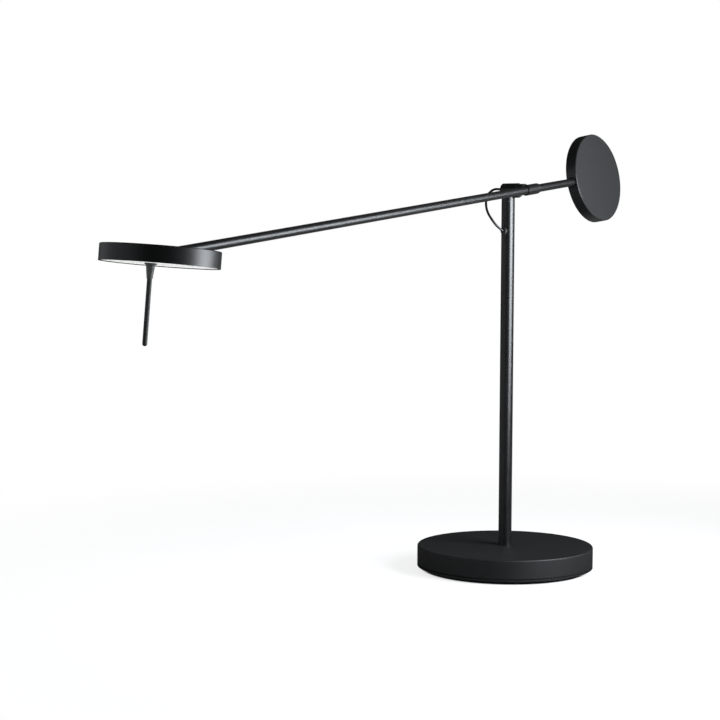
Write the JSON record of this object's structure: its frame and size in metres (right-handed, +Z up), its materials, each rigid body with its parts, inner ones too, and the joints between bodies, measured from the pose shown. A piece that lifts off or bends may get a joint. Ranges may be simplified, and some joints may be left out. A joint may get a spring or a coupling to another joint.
{
  "type": "counterweight balance desk lamp",
  "caption": "Desk lamp with a long balance arm on a slim stem: round flat LED head with a stick handle at one end, disc counterweight at the other, on a heavy round base.",
  "frame": {"origin": "centre of the base pad's underside, on the desk", "axes": "+Z up along the stem, -X toward the lamp head, +X toward the counterweight, the arm on the stem's -Y side"},
  "size_m": [0.8576, 0.2, 0.501],
  "materials": {
    "black_metal": "matte",
    "black_aluminium": "satin",
    "cast_iron": "matte",
    "zinc_steel": "satin",
    "acetal": "satin",
    "black_plastic": "matte",
    "circuit_board": "satin",
    "clear_acrylic": "polished",
    "white_film": "matte",
    "opal_acrylic": "satin",
    "rubber_pad": "matte",
    "rubber_black": "satin",
    "cable_black": "satin"
  },
  "bodies": {
    "base": {"base_cover": "black_metal", "base_weight": "cast_iron", "bottom_plate": "black_metal", "base_pad": "rubber_pad", "base_screws": "zinc_steel", "driver_board": "circuit_board", "board_screws": "zinc_steel", "power_inlet": "black_plastic", "inlet_nut": "zinc_steel", "inlet_lead": "cable_black", "foot_washer": "black_metal", "stem_foot": "zinc_steel", "lock_washer": "zinc_steel", "stem_nut": "zinc_steel", "stem_tube": "black_metal", "swivel_bush": "acetal", "swivel_screw": "black_metal", "stem_grommet": "rubber_black", "stem_lead": "cable_black", "jumper_cable": "cable_black"},
    "swivel": {"pivot_barrel": "black_metal", "axle_bushes": "acetal", "barrel_cap": "black_metal", "cable_gland": "rubber_black"},
    "arm": {"tilt_axle": "zinc_steel", "friction_washer": "acetal", "spring_washer": "zinc_steel", "axle_nut": "zinc_steel", "arm_hub": "black_metal", "arm_tube": "black_metal", "arm_collar": "black_metal", "rear_rod": "black_metal", "arm_tip": "black_metal", "arm_lead": "cable_black"},
    "counterweight": {"counterweight": "black_metal", "weight_sleeve": "acetal", "weight_screw": "black_metal"},
    "head": {"head_shell": "black_aluminium", "head_pin": "zinc_steel", "head_washers": "acetal", "head_lead": "cable_black", "led_ring": "circuit_board", "light_guide": "clear_acrylic", "reflector_sheet": "white_film", "diffuser": "opal_acrylic", "handle_flange": "black_metal", "handle_collar": "black_metal", "handle_stick": "black_metal"}
  },
  "joints": [
    {"name": "arm_swivel", "type": "hinge", "parent": "base", "child": "swivel", "pos_m": [0, 0, 0.4309], "axis": [0, 0, 1], "range_deg": [-75, 75], "deforming": ["jumper_cable"]},
    {"name": "arm_tilt", "type": "hinge", "parent": "swivel", "child": "arm", "pos_m": [0, 0, 0.4309], "axis": [0, 1, 0], "range_deg": [-25, 60]},
    {"name": "head_tilt", "type": "hinge", "parent": "arm", "child": "head", "pos_m": [-0.59799, -0.0231, 0.3615], "axis": [-0.0028, 0.9997, 0.0243], "range_deg": [-8, 75]},
    {"name": "counterweight_turn", "type": "hinge", "parent": "arm", "child": "counterweight", "pos_m": [0.15526, -0.0231, 0.44892], "axis": [0.9933, 0, 0.1153], "range_deg": [-180, 180]}
  ]
}
